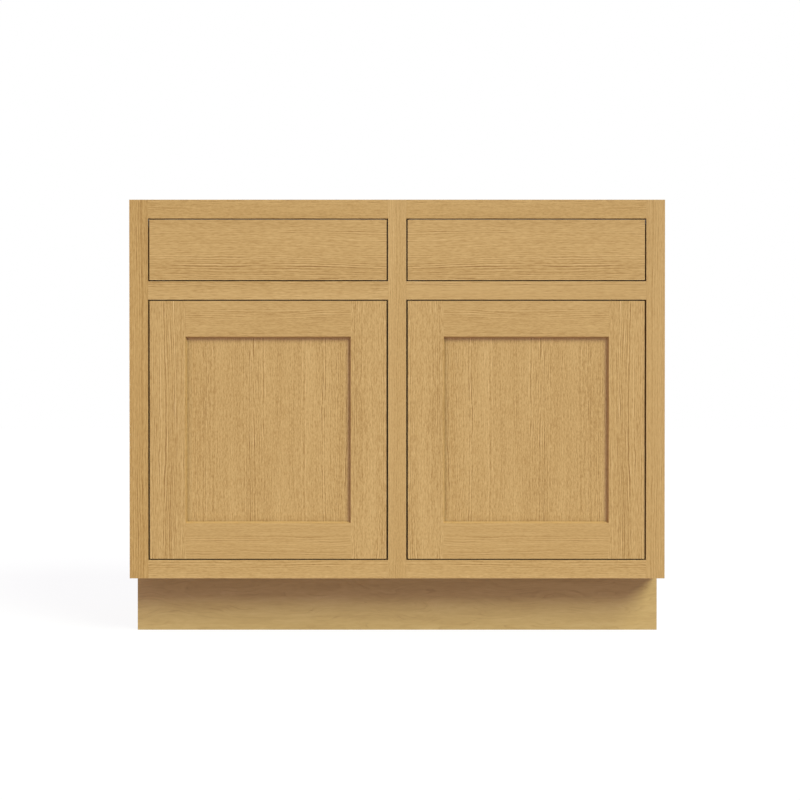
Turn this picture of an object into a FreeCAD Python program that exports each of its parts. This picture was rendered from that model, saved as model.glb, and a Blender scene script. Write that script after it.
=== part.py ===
"""A face-frame vanity base cabinet: two inset drawers above two inset shaker doors on a toe kick.

The origin is on the floor under the middle of the cabinet. The front faces -Y, up is +Z, and all
lengths are in millimetres.
"""
import FreeCAD
import Part
import math
import os
import re
import Sketcher
from FreeCAD import Placement, Rotation, Vector

# Every size that can be set by itself
SIZES = {
    # the whole cabinet
    "overall_width": 1066.8,
    "overall_height": 869.0,
    "overall_depth": 533.4,
    "toe_height": 114.3,
    "toe_recess": 76.2,
    # face frame
    "frame_thickness": 19.05,
    "stile_width": 37.35,
    "centre_stile_width": 36.6,
    "rail_width": 37.0,
    "top_rail_width": 37.45,
    "drawer_opening": 124.75,
    "frame_overhang": 3.175,
    # box behind the frame
    "ply_thickness": 12.7,
    "kick_thickness": 12.7,
    "corner_leg": 76.2,
    "corner_thickness": 19.05,
    "corner_hole_radius": 2.5,
    "corner_hole_inset": 25.4,
    "build_out_depth": 70.0,
    "runner_block_height": 63.5,
    "runner_block_drop": 10.0,
    "stop_width": 40.0,
    "stop_mount": 20.0,
    "stop_overlap": 10.0,
    "stop_thickness": 12.7,
    "stop_offset": 20.0,
    "drawer_stop_reach": 6.0,
    # doors and drawer fronts
    "leaf_thickness": 19.05,
    "door_side_gap": 2.8,
    "door_end_gap": 2.0,
    "drawer_side_gap": 2.5,
    "drawer_end_gap": 2.0,
    "member_width": 71.4,
    "sticking_run": 2.6,
    "panel_recess": 8.0,
    "door_panel_thickness": 6.35,
    "groove_depth": 9.0,
    "groove_play": 0.8,
    # concealed hinges
    "pivot_inset": 4.0,
    "pivot_proud": 3.5,
    "hinge_from_end": 89.0,
    "cup_radius": 17.5,
    "cup_depth": 12.7,
    "cup_edge": 4.6,
    "cup_wall": 1.0,
    "cup_play": 0.1,
    "flange_length": 64.0,
    "flange_width": 13.0,
    "flange_thickness": 1.0,
    "cup_screw_spread": 48.0,
    "link_inner": 23.8,
    "link_outer": 28.2,
    "link_height": 12.0,
    "arm_play": 0.8,
    "arm_nose": 5.0,
    "arm_thickness": 6.0,
    "arm_height": 14.0,
    "plate_gauge": 2.0,
    "plate_setback": 37.0,
    "plate_lead": 14.0,
    "plate_tail": 26.0,
    "plate_width": 18.0,
    "plate_wing_width": 13.0,
    "plate_wing_length": 48.0,
    "plate_screw_spread": 32.0,
    # drawer boxes
    "box_thickness": 12.7,
    "box_height": 101.6,
    "box_rear_gap": 44.45,
    "box_side_gap": 8.3,
    "box_lift": 14.0,
    "bottom_rise": 12.7,
    "bottom_thickness": 6.35,
    "bottom_tuck": 6.0,
    "notch_width": 24.0,
    # runners
    "runner_gauge": 1.5,
    "runner_rise": 2.0,
    "runner_flange": 30.0,
    "runner_reach": 36.0,
    "runner_play": 0.8,
    "runner_lip": 3.0,
    "runner_front_play": 1.0,
    "runner_screw_height": 20.0,
    "runner_screw_setback": 37.0,
    "clip_play": 0.3,
    "clip_width": 30.0,
    "clip_length": 50.0,
    "clip_height": 12.0,
    # wood screws
    "shank_radius": 1.75,
    "shank_length": 13.0,
    "head_radius": 3.6,
    "head_height": 1.5,
    "drive_reach": 1.9,
    "drive_depth": 1.1,
    # how far a cutting shape runs past what it cuts
    "overrun": 1.0,
}

# Angles, in degrees, measured round a hinge pivot from straight back towards the door's middle
LINK_START = -6.0
LINK_ARC = 63.0
ARM_ROOT = 20.0
ARM_NOSE = 56.0

# Dovetails on each drawer-box corner, and their widths as shares of the spacing
TAIL_COUNT = 4
TAIL_END_SHARE = 0.74
TAIL_ROOT_SHARE = 0.58

# Side view of a locking clip, as shares of its length and height
CLIP_SHARES = ((0, 0.35), (0.18, 0), (0.55, 0), (0.62, 0.45), (1, 0.6), (1, 1), (0, 1))

# Places worked out from the sizes
PLACES = {
    # depth, from the front face of the frame to the back
    "front": "-overall_depth / 2",
    "frame_back": "front + frame_thickness",
    "leaf_back": "front + leaf_thickness",
    "stop_back": "frame_back + stop_thickness",
    "back": "overall_depth / 2",
    "back_inner": "back - ply_thickness",
    "kick_front": "front + toe_recess",
    "kick_back": "kick_front + kick_thickness",
    # width, from the middle outwards
    "inner_edge": "centre_stile_width / 2",
    "outer_edge": "overall_width / 2 - stile_width",
    "box_half": "overall_width / 2 - frame_overhang",
    "inner_half": "box_half - ply_thickness",
    # height, from the floor up
    "door_sill": "toe_height + rail_width",
    "drawer_head": "overall_height - top_rail_width",
    "drawer_sill": "drawer_head - drawer_opening",
    "door_head": "drawer_sill - rail_width",
    "deck_under": "door_sill - ply_thickness",
    "block_foot": "drawer_sill - runner_block_drop",
    "block_top": "block_foot + runner_block_height",
    "door_foot": "door_sill + door_end_gap",
    "door_top": "door_head - door_end_gap",
    "low_hinge": "door_foot + hinge_from_end",
    "high_hinge": "door_top - hinge_from_end",
    # door frame members, from the outer edge of the door inwards
    "member_foot": "member_width + sticking_run",
    "groove_floor": "member_foot - groove_depth",
    "panel_back": "panel_recess + door_panel_thickness",
    # hinges, from the edge of the stile and from the front face
    "cup_centre": "door_side_gap + cup_edge + cup_radius",
    "bore_radius": "cup_radius + cup_play",
    "cavity_radius": "cup_radius - cup_wall",
    "arm_inner": "link_outer + arm_play",
    "arm_outer": "arm_inner + arm_nose",
    "arm_top": "plate_gauge + arm_thickness",
    "plate_line": "leaf_thickness + plate_setback",
    "plate_start": "plate_line - plate_lead",
    "plate_end": "plate_line + plate_tail",
    # drawer boxes
    "box_foot": "drawer_sill + box_lift",
    "box_top": "box_foot + box_height",
    "box_front_inner": "leaf_back + box_thickness",
    "box_back": "back_inner - box_rear_gap",
    "box_length": "box_back - leaf_back",
    "box_back_inner": "box_back - box_thickness",
    "box_inset": "box_side_gap + box_thickness",
    "bottom_under": "box_foot + bottom_rise",
    "bottom_top": "bottom_under + bottom_thickness",
    "tail_pitch": f"box_height / {TAIL_COUNT}",
    # runner sections, from the edge of the opening and from the foot of the drawer opening
    "runner_front": "box_front_inner + runner_front_play",
    "runner_head": "box_lift + bottom_rise",
    "fixed_in": "runner_reach - runner_gauge",
    "fixed_floor": "runner_rise + runner_gauge",
    "fixed_top": "middle_top - runner_gauge - runner_play",
    "middle_foot": "fixed_floor + runner_play",
    "middle_top": "runner_head - runner_gauge - runner_play",
    "middle_left_in": "fixed_in - runner_play",
    "middle_left": "middle_left_in - runner_gauge",
    "middle_right_in": "runner_reach + runner_play",
    "middle_right": "middle_right_in + runner_gauge",
    "moving_foot": "middle_foot + runner_lip",
    "moving_left_in": "middle_left - runner_play",
    "moving_left": "moving_left_in - runner_gauge",
    "moving_right_in": "middle_right + runner_play",
    "moving_right": "moving_right_in + runner_gauge",
}

# Where loose sketch points wait, round a unit ring, before the sizes pull them into place
WAITING = 2

# The two openings, each from its left edge to its right edge
OPENINGS = {
    "left": ("-outer_edge", "-inner_edge"),
    "right": ("inner_edge", "outer_edge"),
}
SIGNS = {"left": -1, "right": 1}
HINGE_LEVELS = {"low": "low_hinge", "high": "high_hinge"}

UPRIGHT = Rotation()
ALONG_X = Rotation(Vector(0, 1, 0), 90)
AGAINST_X = Rotation(Vector(0, 1, 0), -90)
ALONG_Y = Rotation(Vector(1, 0, 0), -90)
AGAINST_Y = Rotation(Vector(1, 0, 0), 90)
TURNED_ABOUT_Y = Rotation(Vector(0, 1, 0), 180)
TURNED_ABOUT_Z = Rotation(Vector(0, 0, 1), 180)

doc = FreeCAD.newDocument("vanity_base")
sheet = doc.addObject("Spreadsheet::Sheet", "sizes")
nodes = {}
cuts = []


def fill_sheet():
    """Write every named size into the sheet, one row each."""
    for row, (name, value) in enumerate(SIZES.items(), 1):
        sheet.set(f"A{row}", name)
        sheet.set(f"B{row}", str(value))
        sheet.setAlias(f"B{row}", name)
    doc.recompute()


def spell(text):
    """Write a text of named sizes and places as one expression over the sheet."""
    def swap(found):
        word = found.group(0)
        if word in SIZES:
            return "sizes." + word
        if word in PLACES:
            return "(" + spell(PLACES[word]) + ")"
        return word
    return re.sub(r"[a-z][a-z_]+", swap, text)


def bind(piece, prop, text):
    """Tie a property to the named sizes."""
    piece.setExpression(prop, spell(text))


def place(piece, at, turn=UPRIGHT):
    """Turn a piece and tie its three coordinates to the named sizes."""
    piece.Placement = Placement(Vector(), turn)
    for axis, text in zip("xyz", at):
        bind(piece, "Placement.Base." + axis, text)


def keep(piece):
    """Take a piece as a finished sub-part under its own label."""
    nodes[piece.Label] = piece


def block(name, across, deep, tall):
    """A rectangular piece between two places on each axis."""
    piece = doc.addObject("Part::Box", name)
    for prop, (low, high) in zip(("Length", "Width", "Height"), (across, deep, tall)):
        bind(piece, prop, f"({high}) - ({low})")
    place(piece, (across[0], deep[0], tall[0]))
    return piece


def rod(name, radius, length, at, turn=UPRIGHT, arc=360.0):
    """A round piece, whole or a sector."""
    piece = doc.addObject("Part::Cylinder", name)
    bind(piece, "Radius", radius)
    bind(piece, "Height", length)
    piece.Angle = arc
    place(piece, at, turn)
    return piece


def cut(name, base, tool):
    """Take one shape out of another, and remember to check that it took something."""
    piece = doc.addObject("Part::Cut", name)
    piece.Base = base
    piece.Tool = tool
    cuts.append(piece)
    return piece


def fuse(name, pieces):
    """Join shapes of one solid."""
    piece = doc.addObject("Part::MultiFuse", name)
    piece.Shapes = pieces
    return piece


def group(name, pieces):
    """Several separate solids as one shape."""
    piece = doc.addObject("Part::Compound", name)
    piece.Links = pieces
    return piece


def outline(body, name, role, points):
    """A closed sketch on one of the body's own planes, each corner tied to the named sizes."""
    sketch = body.newObject("Sketcher::SketchObject", name)
    for plane in body.Origin.OriginFeatures:
        if plane.Role == role:
            sketch.AttachmentSupport = [(plane, "")]
    sketch.MapMode = "FlatFace"
    count = len(points)
    turns = [2 * math.pi * index / count for index in range(count)]
    ring = [Vector(WAITING + math.cos(turn), WAITING + math.sin(turn), 0) for turn in turns]
    for index in range(count):
        sketch.addGeometry(Part.LineSegment(ring[index], ring[(index + 1) % count]))
    for index in range(count):
        sketch.addConstraint(Sketcher.Constraint("Coincident", index, 2, (index + 1) % count, 1))
    for index, corner in enumerate(points):
        for kind, axis, start, text in zip(("DistanceX", "DistanceY"), (-2, -1), ring[index], corner):
            if text == "0":
                sketch.addConstraint(Sketcher.Constraint("PointOnObject", index, 1, axis))
                continue
            number = sketch.addConstraint(Sketcher.Constraint(kind, -1, 1, index, 1, start))
            bind(sketch, f"Constraints[{number}]", text)
    return sketch


def profile(name, role, points, length, at, turn=UPRIGHT, holes=()):
    """A solid of one section, padded along +X, +Y or +Z of its own body."""
    body = doc.addObject("PartDesign::Body", name)
    sketch = outline(body, name + "_outline", role, points)
    for across, up, radius in holes:
        ring = sketch.addGeometry(Part.Circle(Vector(WAITING, WAITING, 0), Vector(0, 0, 1), 1))
        for kind, text in (("DistanceX", across), ("DistanceY", up)):
            number = sketch.addConstraint(Sketcher.Constraint(kind, -1, 1, ring, 3, WAITING))
            bind(sketch, f"Constraints[{number}]", text)
        number = sketch.addConstraint(Sketcher.Constraint("Radius", ring, 1))
        bind(sketch, f"Constraints[{number}]", radius)
    pad = body.newObject("PartDesign::Pad", name + "_pad")
    pad.Profile = sketch
    pad.Reversed = role == "XZ_Plane"
    bind(pad, "Length", length)
    body.Tip = pad
    place(body, at, turn)
    return body


def wood_screw(name, at, turn):
    """A square-drive screw whose head starts at its own origin and whose shank points along the turn."""
    shank = rod(name + "_shank", "shank_radius", "shank_length + head_height", at, turn)
    head = rod(name + "_head", "head_radius", "head_height", at, turn)
    drive = doc.addObject("Part::Prism", name + "_drive")
    drive.Polygon = 4
    bind(drive, "Circumradius", "drive_reach")
    bind(drive, "Height", "drive_depth")
    place(drive, at, turn)
    return cut(name, fuse(name + "_blank", [shank, head]), drive)


def polar(radius, angle):
    """A point round a hinge pivot, from the stile edge inwards and from the front face back."""
    across = f"pivot_inset + ({radius}) * {math.sin(math.radians(angle)):.6f}"
    deep = f"({radius}) * {math.cos(math.radians(angle)):.6f} - pivot_proud"
    return across, deep


def mirrored_span(sign, near, far):
    """A span on the left or right half, given from the middle outwards."""
    if sign > 0:
        return near, far
    return f"-({far})", f"-({near})"


def build_face_frame():
    """Three full-height stiles, and rails between them."""
    deep = ("front", "frame_back")
    tall = ("toe_height", "overall_height")
    left = ("-overall_width / 2", "-outer_edge")
    right = ("outer_edge", "overall_width / 2")
    keep(block("face_stile_left", left, deep, tall))
    keep(block("face_stile_centre", ("-inner_edge", "inner_edge"), deep, tall))
    keep(block("face_stile_right", right, deep, tall))
    rails = {
        "bottom": ("toe_height", "door_sill"),
        "mid": ("door_head", "drawer_sill"),
        "top": ("drawer_head", "overall_height"),
    }
    for row, tall in rails.items():
        for side, across in OPENINGS.items():
            keep(block(f"face_{row}_rail_{side}", across, deep, tall))


def build_box():
    """Sides with toe notches, deck, back, toe kick and corner blocks."""
    notch = "kick_back - frame_back"
    depth = "back - frame_back"
    side_points = (
        (notch, "0"),
        (depth, "0"),
        (depth, "overall_height"),
        ("0", "overall_height"),
        ("0", "toe_height"),
        (notch, "toe_height"),
    )
    for side, start in (("left", "-box_half"), ("right", "inner_half")):
        at = (start, "frame_back", "0")
        keep(profile("side_panel_" + side, "YZ_Plane", side_points, "ply_thickness", at))
    inside = ("-inner_half", "inner_half")
    full = ("-box_half", "box_half")
    keep(block("bottom_panel", inside, ("frame_back", "back_inner"), ("deck_under", "door_sill")))
    keep(block("back_panel", inside, ("back_inner", "back"), ("0", "overall_height")))
    keep(block("toe_kick_board", full, ("kick_front", "kick_back"), ("0", "toe_height")))
    keep(block("toe_kick_support", inside, ("kick_back", "kick_back + ply_thickness"),
               ("0", "deck_under")))
    build_corner_blocks()
    build_stops()


def build_stops():
    """Blocks behind the frame that stop the shut doors and drawer fronts flush with it."""
    deep = ("frame_back", "stop_back")
    reach = "inner_edge + drawer_stop_reach"
    stops = [block("drawer_stop", (f"-({reach})", reach), deep, ("block_foot", "overall_height"))]
    for side, sign in SIGNS.items():
        across = mirrored_span(sign, "inner_edge + stop_offset", "inner_edge + stop_offset + stop_width")
        tall = ("door_head - stop_overlap", "door_head + stop_mount")
        stops.append(block("door_stop_" + side, across, deep, tall))
    keep(group("stop_blocks", stops))


def build_corner_blocks():
    """Four triangular blocks at the open top, each with an upright hole for a countertop screw."""
    triangle = (("0", "0"), ("corner_leg", "0"), ("0", "corner_leg"))
    hole = (("corner_hole_inset", "corner_hole_inset", "corner_hole_radius"),)
    corners = (
        ("-inner_half", "frame_back"),
        ("inner_half", "frame_back"),
        ("inner_half", "back_inner"),
        ("-inner_half", "back_inner"),
    )
    blocks = []
    for index, (across, deep) in enumerate(corners):
        at = (across, deep, "overall_height - corner_thickness")
        turn = Rotation(Vector(0, 0, 1), 90 * index)
        name = f"corner_block_{index}"
        blocks.append(profile(name, "XY_Plane", triangle, "corner_thickness", at, turn, hole))
    keep(group("corner_blocks", blocks))


def runner_screws(side, hand):
    """Two screws through a fixed runner's flange into the block beside it."""
    low, high = OPENINGS[side]
    if hand == "left":
        across = f"{low} + runner_gauge + head_height"
        turn = AGAINST_X
    else:
        across = f"{high} - runner_gauge - head_height"
        turn = ALONG_X
    height = "drawer_sill + runner_screw_height"
    spots = ("runner_front + runner_screw_setback", "box_back - runner_screw_setback")
    name = f"{side}_{hand}_runner_screw_"
    return [wood_screw(name + str(index), (across, spot, height), turn)
            for index, spot in enumerate(spots)]


def plate_screws(side, level, height):
    """Two screws through a hinge plate's wings into the build-out."""
    sign = SIGNS[side]
    across = f"{sign} * (outer_edge - plate_gauge - head_height)"
    turn = ALONG_X if sign > 0 else AGAINST_X
    screws = []
    for index, step in enumerate((-1, 1)):
        at = (across, "front + plate_line", f"{height} + {step} * plate_screw_spread / 2")
        screws.append(wood_screw(f"{side}_{level}_plate_screw_{index}", at, turn))
    return screws


def build_hinge_mounts():
    """Build-outs behind the end stiles, with the hinges' plates and arms, and their screws."""
    plates = []
    arms = []
    screws = []
    for side, sign in SIGNS.items():
        own_screws = []
        for level, height in HINGE_LEVELS.items():
            pair = plate_screws(side, level, height)
            plates.append(hinge_plate(side, level, height, pair))
            arms.append(hinge_arm(side, level, height))
            own_screws += pair
        blank = block(f"hinge_build_out_{side}_blank", mirrored_span(sign, "outer_edge", "inner_half"),
                      ("frame_back", "frame_back + build_out_depth"), ("door_sill", "block_foot"))
        keep(cut("hinge_build_out_" + side, blank, group(f"hinge_build_out_{side}_holes", own_screws)))
        screws += own_screws
    keep(group("hinge_plates", plates))
    keep(group("hinge_arms", arms))
    return screws


def build_runner_mounts():
    """Blocks from front to back beside the drawers, with the fixed runner members, and their screws."""
    runners = []
    screws = {"left": [], "centre": [], "right": []}
    for side in OPENINGS:
        for hand in ("left", "right"):
            pair = runner_screws(side, hand)
            runners.append(cut(f"{side}_{hand}_fixed_runner", fixed_runner(side, hand),
                               group(f"{side}_{hand}_runner_screws", pair)))
            screws[side if side == hand else "centre"] += pair
    spans = {
        "left": (mirrored_span(-1, "outer_edge", "inner_half"), "frame_back"),
        "centre": (("-inner_edge", "inner_edge"), "stop_back"),
        "right": (mirrored_span(1, "outer_edge", "inner_half"), "frame_back"),
    }
    for spot, (across, start) in spans.items():
        blank = block(f"runner_block_{spot}_blank", across, (start, "back_inner"),
                      ("block_foot", "block_top"))
        keep(cut("runner_block_" + spot, blank, group(f"runner_block_{spot}_holes", screws[spot])))
    keep(group("fixed_runners", runners))
    return screws["left"] + screws["centre"] + screws["right"]


def hinge_plate(side, level, height, screws):
    """A cross-shaped steel plate on the build-out's inner face."""
    middle = "plate_wing_length / 2"
    half = "plate_width / 2"
    wing = "plate_wing_width / 2"
    length = "plate_lead + plate_tail"
    points = (
        ("0", f"{middle} - {half}"),
        (f"plate_lead - {wing}", f"{middle} - {half}"),
        (f"plate_lead - {wing}", "0"),
        (f"plate_lead + {wing}", "0"),
        (f"plate_lead + {wing}", f"{middle} - {half}"),
        (length, f"{middle} - {half}"),
        (length, f"{middle} + {half}"),
        (f"plate_lead + {wing}", f"{middle} + {half}"),
        (f"plate_lead + {wing}", "plate_wing_length"),
        (f"plate_lead - {wing}", "plate_wing_length"),
        (f"plate_lead - {wing}", f"{middle} + {half}"),
        ("0", f"{middle} + {half}"),
    )
    start = "outer_edge - plate_gauge" if SIGNS[side] > 0 else "-outer_edge"
    at = (start, "front + plate_start", f"{height} - {middle}")
    name = f"{side}_{level}_hinge_plate"
    blank = profile(name + "_blank", "YZ_Plane", points, "plate_gauge", at)
    return cut(name, blank, group(name + "_screws", screws))


def hinge_arm(side, level, height):
    """A cranked arm from its plate to a nose that reaches into the cup of the shut door."""
    waist = (ARM_ROOT + ARM_NOSE) / 2
    points = [
        ("plate_gauge", "plate_end"),
        ("plate_gauge", "plate_start"),
        polar("arm_inner", ARM_ROOT),
        polar("arm_inner", waist),
        polar("arm_inner", ARM_NOSE),
        polar("arm_outer", ARM_NOSE),
        polar("arm_outer", waist),
        polar("arm_outer", ARM_ROOT),
        ("arm_top", "plate_start"),
        ("arm_top", "plate_end"),
    ]
    name = f"{side}_{level}_hinge_arm"
    if SIGNS[side] < 0:
        at = ("-outer_edge", "front", f"{height} - arm_height / 2")
        return profile(name, "XY_Plane", points, "arm_height", at)
    at = ("outer_edge", "front", f"{height} + arm_height / 2")
    return profile(name, "XY_Plane", points, "arm_height", at, TURNED_ABOUT_Y)


def runner_strip(name, side, hand, points, start, length):
    """A pressed-steel runner member of one section, on the left or right edge of an opening."""
    low, high = OPENINGS[side]
    if hand == "left":
        return profile(name, "XZ_Plane", points, length, (low, start, "drawer_sill"))
    at = (high, f"{start} + {length}", "drawer_sill")
    return profile(name, "XZ_Plane", points, length, at, TURNED_ABOUT_Z)


def channel_points(left, left_in, right_in, right, foot, top):
    """An upside-down channel."""
    top_in = f"{top} - runner_gauge"
    return ((left, foot), (left, top), (right, top), (right, foot),
            (right_in, foot), (right_in, top_in), (left_in, top_in), (left_in, foot))


def fixed_runner(side, hand):
    """The cabinet member: a flange on the block, a floor under the drawer side, an upright web."""
    points = (
        ("0", "runner_rise"),
        ("runner_reach", "runner_rise"),
        ("runner_reach", "fixed_top"),
        ("fixed_in", "fixed_top"),
        ("fixed_in", "fixed_floor"),
        ("runner_gauge", "fixed_floor"),
        ("runner_gauge", "runner_rise + runner_flange"),
        ("0", "runner_rise + runner_flange"),
    )
    name = f"{side}_{hand}_fixed_runner_blank"
    return runner_strip(name, side, hand, points, "runner_front", "(box_back - runner_front)")


def build_door(side):
    """A shaker door: two stiles, two rails coped over them, a flat panel, and two hinge cups."""
    sign = SIGNS[side]
    name = side + "_door_"
    low, high = OPENINGS[side]
    start = f"{low} + door_side_gap"
    end = f"{high} - door_side_gap"
    height = "(door_top - door_foot)"
    section = (
        ("0", "0"),
        ("member_width", "0"),
        ("member_foot", "panel_recess"),
        ("groove_floor", "panel_recess"),
        ("groove_floor", "panel_back"),
        ("member_foot", "panel_back"),
        ("member_foot", "leaf_thickness"),
        ("0", "leaf_thickness"),
    )
    laid = tuple((deep, across) for across, deep in section)
    spots = {
        "left": ((start, "front", "door_foot"), UPRIGHT),
        "right": ((end, "front", "door_top"), TURNED_ABOUT_Y),
    }
    stiles = []
    for hand, (at, turn) in spots.items():
        role = "hinge_stile_blank" if hand == side else "lock_stile"
        stiles.append(profile(name + role, "XY_Plane", section, height, at, turn))
    hinge_blank, lock_stile = stiles if sign < 0 else reversed(stiles)
    keep(lock_stile)
    length = f"(({end}) - ({start}) - 2 * groove_floor)"
    rails = {
        "bottom_rail": ((f"{start} + groove_floor", "front", "door_foot"), UPRIGHT),
        "top_rail": ((f"{end} - groove_floor", "front", "door_top"), TURNED_ABOUT_Y),
    }
    for role, (at, turn) in rails.items():
        blank = profile(f"{name}{role}_blank", "YZ_Plane", laid, length, at, turn)
        keep(cut(name + role, blank, group(f"{name}{role}_copes", stiles)))
    tuck = "groove_floor + groove_play"
    keep(block(name + "panel", (f"{start} + {tuck}", f"{end} - ({tuck})"),
               ("front + panel_recess", "front + panel_back"),
               (f"door_foot + {tuck}", f"door_top - ({tuck})")))
    build_cups(side, hinge_blank)


def build_cups(side, hinge_blank):
    """Two hinge cups, their screws, and the bored stile that holds them."""
    sign = SIGNS[side]
    name = side + "_door_"
    centre = f"{sign} * (outer_edge - cup_centre)"
    cups = []
    screws = []
    bores = []
    for level, height in HINGE_LEVELS.items():
        spot = f"{name}{level}_cup"
        bores.append(rod(spot + "_bore", "bore_radius", "cup_depth + overrun",
                         (centre, "leaf_back - cup_depth", height), ALONG_Y))
        shell = rod(spot + "_shell", "cup_radius", "cup_depth",
                    (centre, "leaf_back - cup_depth", height), ALONG_Y)
        flange = block(spot + "_flange",
                       (f"{centre} - flange_width / 2", f"{centre} + flange_width / 2"),
                       ("leaf_back", "leaf_back + flange_thickness"),
                       (f"{height} - flange_length / 2", f"{height} + flange_length / 2"))
        cavity = rod(spot + "_cavity", "cavity_radius", "cup_depth + overrun",
                     (centre, "leaf_back - cup_depth + cup_wall", height), ALONG_Y)
        pair = []
        for index, step in enumerate((-1, 1)):
            at = (centre, "leaf_back + flange_thickness + head_height",
                  f"{height} + {step} * cup_screw_spread / 2")
            pair.append(wood_screw(f"{spot}_screw_{index}", at, AGAINST_Y))
        hollow = cut(spot + "_hollow", fuse(spot + "_solid", [shell, flange]), cavity)
        cups.append(cut(spot, hollow, group(spot + "_screw_pair", pair)))
        screws += pair
    keep(group(name + "hinge_cups", cups))
    keep(group(name + "cup_screws", screws))
    bored = cut(name + "bored_stile", hinge_blank, group(name + "bores", bores))
    keep(cut(name + "hinge_stile", bored, group(name + "pilot_holes", screws)))


def build_links(side):
    """The curved moving links between the arms' noses and the cups, one to each hinge."""
    sign = SIGNS[side]
    if sign < 0:
        turn = Rotation(Vector(0, 0, 1), 90 - LINK_START - LINK_ARC)
    else:
        turn = Rotation(Vector(0, 0, 1), 90 + LINK_START)
    across = f"{sign} * (outer_edge - pivot_inset)"
    links = []
    for level, height in HINGE_LEVELS.items():
        name = f"{side}_{level}_link"
        outer = rod(name + "_outer", "link_outer", "link_height",
                    (across, "front - pivot_proud", f"{height} - link_height / 2"), turn, LINK_ARC)
        inner = rod(name + "_inner", "link_inner", "link_height + 2 * overrun",
                    (across, "front - pivot_proud", f"{height} - link_height / 2 - overrun"))
        links.append(cut(name, outer, inner))
    keep(group(side + "_hinge_links", links))


def tailed_side_points():
    """A drawer side with a row of dovetails at each end, as seen from beside the drawer."""
    front_tails = []
    back_tails = []
    for index in range(TAIL_COUNT):
        middle = f"{index + 0.5} * tail_pitch"
        root = f"{TAIL_ROOT_SHARE / 2} * tail_pitch"
        tip = f"{TAIL_END_SHARE / 2} * tail_pitch"
        front_tails += [("box_thickness", f"{middle} - {root}"), ("0", f"{middle} - {tip}"),
                        ("0", f"{middle} + {tip}"), ("box_thickness", f"{middle} + {root}")]
        back_tails += [("box_length - box_thickness", f"{middle} - {root}"),
                       ("box_length", f"{middle} - {tip}"),
                       ("box_length", f"{middle} + {tip}"),
                       ("box_length - box_thickness", f"{middle} + {root}")]
    ends = (("box_thickness", "box_height"), ("box_length - box_thickness", "box_height"))
    feet = (("box_length - box_thickness", "0"), ("box_thickness", "0"))
    return tuple(front_tails) + ends + tuple(reversed(back_tails)) + feet


def build_drawer(side):
    """A dovetailed plywood box behind a slab front, on its own runner members and clips."""
    name = side + "_drawer_"
    low, high = OPENINGS[side]
    keep(block(name + "front", (f"{low} + drawer_side_gap", f"{high} - drawer_side_gap"),
               ("front", "leaf_back"),
               ("drawer_sill + drawer_end_gap", "drawer_head - drawer_end_gap")))
    across = (f"{low} + box_side_gap", f"{high} - box_side_gap")
    inside = (f"{low} + box_inset", f"{high} - box_inset")
    tucked = (f"{inside[0]} - bottom_tuck", f"{inside[1]} + bottom_tuck")
    bottom = block(name + "bottom", tucked,
                   ("box_front_inner - bottom_tuck", "box_back_inner + bottom_tuck"),
                   ("bottom_under", "bottom_top"))
    keep(bottom)
    sides = []
    for hand, start in (("left", across[0]), ("right", inside[1])):
        blank = profile(f"{name}side_{hand}_blank", "YZ_Plane", tailed_side_points(), "box_thickness",
                        (start, "leaf_back", "box_foot"))
        sides.append(blank)
        keep(cut(f"{name}side_{hand}", blank, bottom))
    sockets = {}
    ends = {"front": ("leaf_back", "box_front_inner"), "back": ("box_back_inner", "box_back")}
    for end, deep in ends.items():
        blank = block(f"{name}box_{end}_blank", across, deep, ("box_foot", "box_top"))
        tails = group(f"{name}box_{end}_tails", sides)
        sockets[end] = cut(f"{name}box_{end}_sockets", blank, tails)
    notched = cut(name + "box_back_notched", sockets["back"], runner_notches(name, across, inside))
    keep(cut(name + "box_front", sockets["front"], bottom))
    keep(cut(name + "box_back", notched, bottom))
    build_drawer_runners(side)


def runner_notches(name, across, inside):
    """The two notches that let the runners pass under the back of the box."""
    notches = []
    spans = ((across[0], f"{inside[0]} + notch_width"), (f"{inside[1]} - notch_width", across[1]))
    for index, span in enumerate(spans):
        notches.append(block(f"{name}notch_{index}", span,
                             ("box_back_inner - overrun", "box_back + overrun"),
                             ("box_foot - overrun", "bottom_under")))
    return group(name + "notches", notches)


def build_drawer_runners(side):
    """Middle and drawer members of both runners, and the locking clips beside them."""
    name = side + "_drawer_"
    middle = channel_points("middle_left", "middle_left_in", "middle_right_in", "middle_right",
                            "middle_foot", "middle_top")
    moving = channel_points("moving_left", "moving_left_in", "moving_right_in", "moving_right",
                            "moving_foot", "runner_head")
    length = "(box_back - runner_front)"
    low, high = OPENINGS[side]
    middles = []
    movers = []
    clips = []
    clip_points = [(f"{along} * clip_length" if along else "0", f"{up} * clip_height" if up else "0")
                   for along, up in CLIP_SHARES]
    starts = {
        "left": f"{low} + moving_right + clip_play",
        "right": f"{high} - moving_right - clip_play - clip_width",
    }
    for hand in ("left", "right"):
        middles.append(runner_strip(f"{name}{hand}_middle", side, hand, middle, "runner_front", length))
        movers.append(runner_strip(f"{name}{hand}_moving", side, hand, moving, "runner_front", length))
        at = (starts[hand], "box_front_inner", "bottom_under - clip_height")
        clips.append(profile(f"{name}{hand}_clip", "YZ_Plane", clip_points, "clip_width", at))
    keep(group(side + "_middle_runners", middles))
    keep(group(name + "runners", movers))
    keep(group(name + "clips", clips))


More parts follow.
